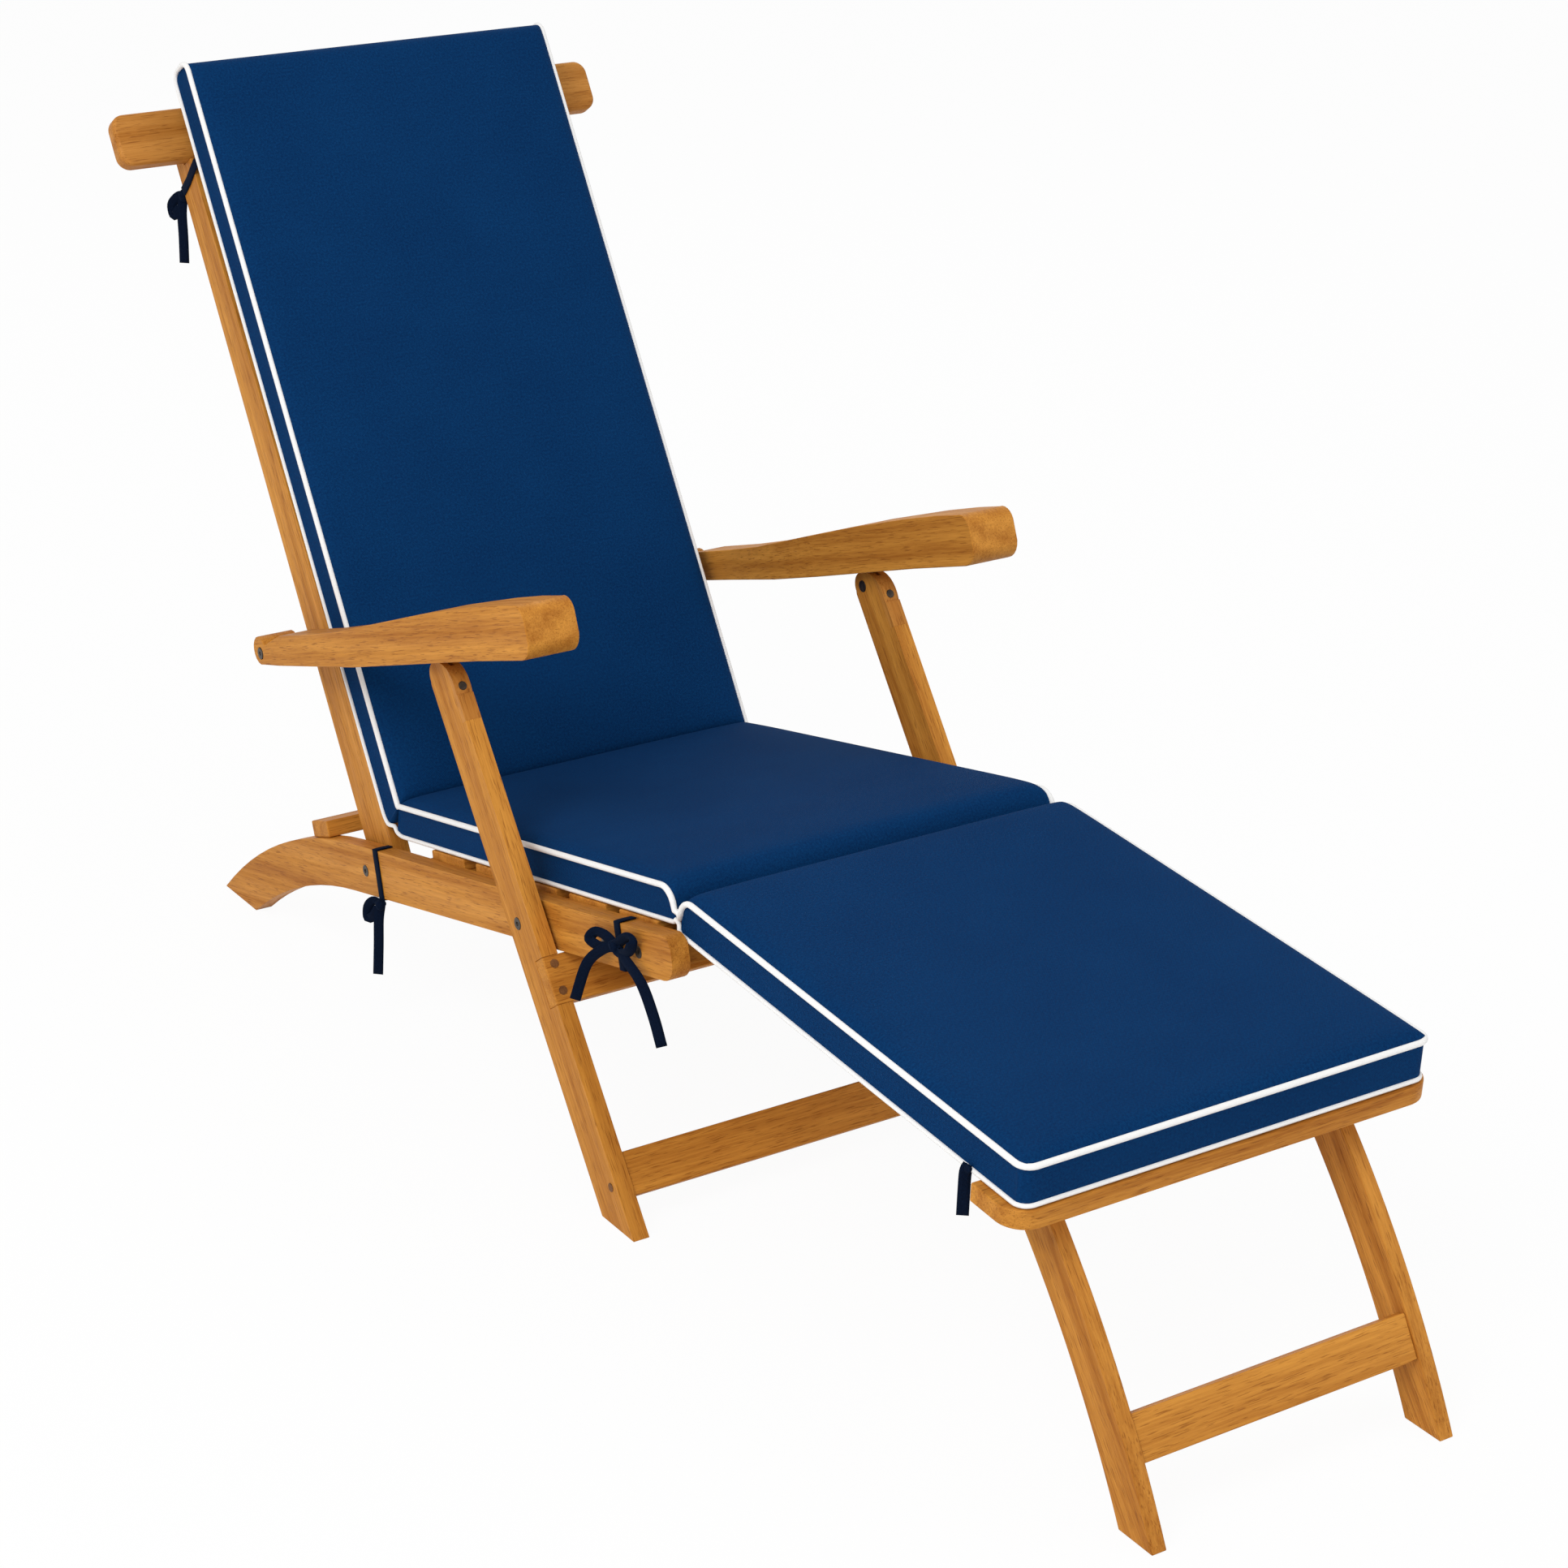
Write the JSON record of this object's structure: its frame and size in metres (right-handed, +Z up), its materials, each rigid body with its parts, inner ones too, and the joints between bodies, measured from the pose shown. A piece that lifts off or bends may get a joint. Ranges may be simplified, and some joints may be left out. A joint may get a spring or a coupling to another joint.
{
  "type": "folding chaise longue",
  "caption": "Folding wooden lounge chair with slatted seat, reclined back, footrest on its own legs and a tied cushion with piping.",
  "frame": {"origin": "centre of the footprint, on the floor plane", "axes": "+Z up, +Y towards the head end, +X to the right of someone who looks along +Y; the footrest points to -Y"},
  "size_m": [0.602, 1.7771, 0.9696],
  "materials": {
    "teak": "oiled",
    "plug_wood": "oiled",
    "canvas_navy": "woven",
    "piping_white": "woven",
    "tape_navy": "woven",
    "bronze_hardware": "aged",
    "hinge_steel": "satin"
  },
  "bodies": {
    "seat_frame": {"seat_rail_left": "teak", "seat_rail_right": "teak", "front_crossbar": "teak", "rear_crossbar": "teak", "seat_cleat_left": "teak", "seat_cleat_right": "teak", "rail_bolts": "bronze_hardware", "leg_pivot_bolts": "bronze_hardware", "footrest_hinges": "hinge_steel", "footrest_hinge_pins": "bronze_hardware", "seat_cushion": "canvas_navy", "seat_piping": "piping_white", "seat_ties": "tape_navy", "seat_slat_1": "teak", "seat_slat_2": "teak", "seat_slat_3": "teak", "seat_slat_4": "teak", "seat_slat_5": "teak"},
    "back": {"back_stile_left": "teak", "back_stile_right": "teak", "head_rail": "teak", "arm_pivot_bolts": "bronze_hardware", "arm_spacers": "hinge_steel", "back_cushion": "canvas_navy", "back_piping": "piping_white", "back_ties": "tape_navy", "back_slat_1": "teak", "back_slat_2": "teak", "back_slat_3": "teak", "back_slat_4": "teak", "back_slat_5": "teak", "back_slat_6": "teak", "back_slat_7": "teak"},
    "arm_left": {"arm_left": "teak", "arm_hinge_left": "hinge_steel"},
    "arm_right": {"arm_right": "teak", "arm_hinge_right": "hinge_steel"},
    "main_legs": {"main_leg_left": "teak", "main_leg_right": "teak", "upper_stretcher": "teak", "lower_stretcher": "teak", "leg_caps": "teak", "leg_cap_screws": "bronze_hardware", "arm_link_pins": "bronze_hardware", "stretcher_plugs": "plug_wood"},
    "footrest": {"footrest_rail_left": "teak", "footrest_rail_right": "teak", "end_board": "teak", "footrest_cushion": "canvas_navy", "footrest_piping": "piping_white", "footrest_ties": "tape_navy", "footrest_slat_1": "teak", "footrest_slat_2": "teak", "footrest_slat_3": "teak", "footrest_slat_4": "teak", "footrest_slat_5": "teak"},
    "footrest_legs": {"footrest_leg_left": "teak", "footrest_leg_right": "teak", "footrest_stretcher": "teak", "footrest_leg_bolts": "bronze_hardware"}
  },
  "joints": [
    {"name": "back_fold", "type": "hinge", "parent": "seat_frame", "child": "back", "pos_m": [0, 0.41929, 0.164], "axis": [1, 0, 0], "range_deg": [0, 75], "deforming": ["seat_cushion", "seat_piping", "back_cushion", "back_piping", "back_ties"]},
    {"name": "leg_fold", "type": "hinge", "parent": "seat_frame", "child": "main_legs", "pos_m": [0, 0.02729, 0.25666], "axis": [1, 0, 0], "range_deg": [0, 75]},
    {"name": "arm_left_fold", "type": "hinge", "parent": "back", "child": "arm_left", "pos_m": [0, 0.57729, 0.37675], "axis": [1, 0, 0], "range_deg": [-75, 0]},
    {"name": "arm_right_fold", "type": "hinge", "parent": "back", "child": "arm_right", "pos_m": [0, 0.57729, 0.37675], "axis": [1, 0, 0], "range_deg": [-75, 0]},
    {"name": "footrest_fold", "type": "hinge", "parent": "seat_frame", "child": "footrest", "pos_m": [0, -0.23916, 0.29219], "axis": [1, 0, 0], "range_deg": [0, 62], "deforming": ["footrest_cushion", "footrest_piping", "footrest_ties"]},
    {"name": "footrest_leg_fold", "type": "hinge", "parent": "footrest", "child": "footrest_legs", "pos_m": [0, -0.69991, 0.24412], "axis": [1, 0, 0], "range_deg": [0, 112]}
  ],
  "couplings": [
    {"joint": "leg_fold", "follows": "back_fold", "ratio": 1},
    {"joint": "arm_left_fold", "follows": "back_fold", "ratio": -1},
    {"joint": "arm_right_fold", "follows": "back_fold", "ratio": -1}
  ]
}
